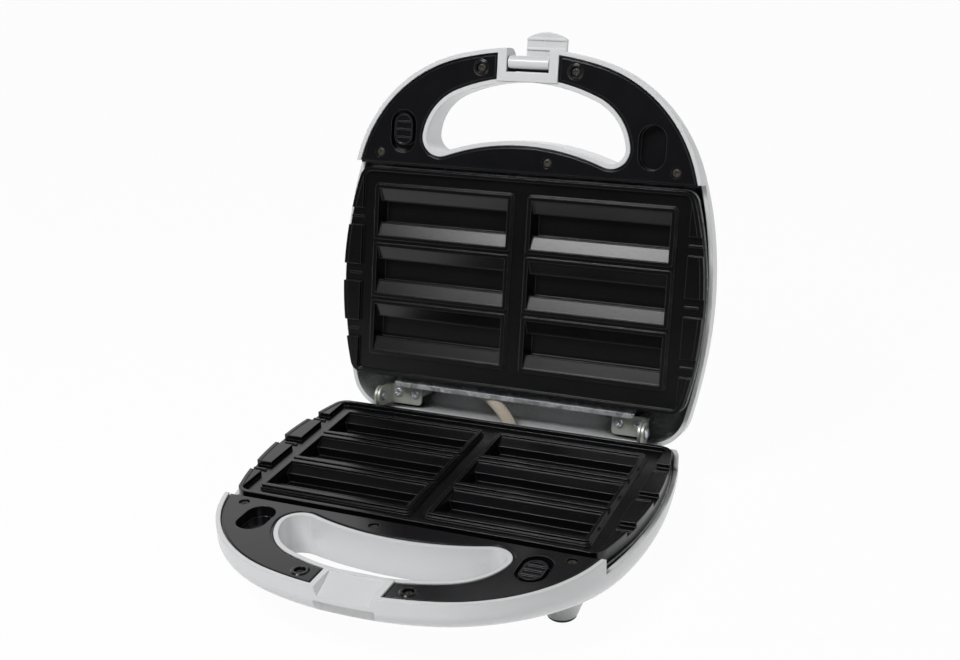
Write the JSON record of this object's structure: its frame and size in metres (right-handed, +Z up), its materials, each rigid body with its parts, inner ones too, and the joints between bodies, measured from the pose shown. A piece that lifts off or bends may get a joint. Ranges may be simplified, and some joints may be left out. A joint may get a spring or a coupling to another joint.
{
  "type": "churros stick maker",
  "caption": "Hinged electric press with long trough cavities in both plates for baking churros sticks, a loop handle and a locking clip, shown open.",
  "frame": {"origin": "middle of the open part's footprint, on the table", "axes": "+Z up, -Y towards the user at the handle, +X to the user's right"},
  "size_m": [0.237, 0.3016, 0.2586],
  "materials": {
    "white_plastic": "gloss",
    "black_plastic": "satin",
    "nonstick": "satin black non-stick coating",
    "galvanised": "spangled zinc",
    "element_steel": "heat-dulled",
    "zinc_screw": "bright zinc",
    "dark_screw": "dark bronze",
    "rubber": "matte",
    "bakelite": "matte",
    "terminal_plastic": "matte",
    "braid": "woven glass fibre",
    "red_lens": "gloss",
    "green_lens": "gloss",
    "lamp_glass": "clear"
  },
  "bodies": {
    "base": {"base_shell": "white_plastic", "base_feet": "white_plastic", "base_handle_cover": "black_plastic", "base_cooking_plate": "nonstick", "base_heat_shield": "galvanised", "base_heating_element": "element_steel", "base_hinge_bracket_left": "galvanised", "base_hinge_bracket_right": "galvanised", "hinge_rivet_left": "galvanised", "hinge_rivet_right": "galvanised", "base_cover_screws": "dark_screw", "base_shield_screws": "zinc_screw", "base_plate_screws": "zinc_screw", "base_hinge_screws": "zinc_screw", "foot_pad_front_left": "rubber", "foot_pad_front_right": "rubber", "foot_pad_rear_left": "rubber", "foot_pad_rear_right": "rubber", "cord_gland": "rubber", "thermostat": "bakelite", "thermal_fuse": "braid", "fuse_strap": "galvanised", "terminal_block": "terminal_plastic", "wire_sleeve": "braid"},
    "lid": {"lid_shell": "white_plastic", "lid_handle_cover": "black_plastic", "lid_cooking_plate": "nonstick", "lid_heat_shield": "galvanised", "lid_heating_element": "element_steel", "lid_hinge_bracket_left": "galvanised", "lid_hinge_bracket_right": "galvanised", "lid_cover_screws": "dark_screw", "lid_shield_screws": "zinc_screw", "lid_plate_screws": "zinc_screw", "lid_hinge_screws": "zinc_screw", "power_lens": "red_lens", "ready_lens": "green_lens", "power_lamp": "lamp_glass", "ready_lamp": "lamp_glass", "latch_pin": "galvanised"},
    "latch": {"latch": "white_plastic"}
  },
  "joints": [
    {"name": "lid_hinge", "type": "hinge", "parent": "base", "child": "lid", "pos_m": [0, 0.06898, 0.04], "axis": [1, 0, 0], "range_deg": [0, 101.9], "deforming": ["wire_sleeve"]},
    {"name": "latch_pivot", "type": "hinge", "parent": "lid", "child": "latch", "pos_m": [0, 0.11738, 0.24543], "axis": [1, 0, 0], "range_deg": [0, 144]}
  ]
}
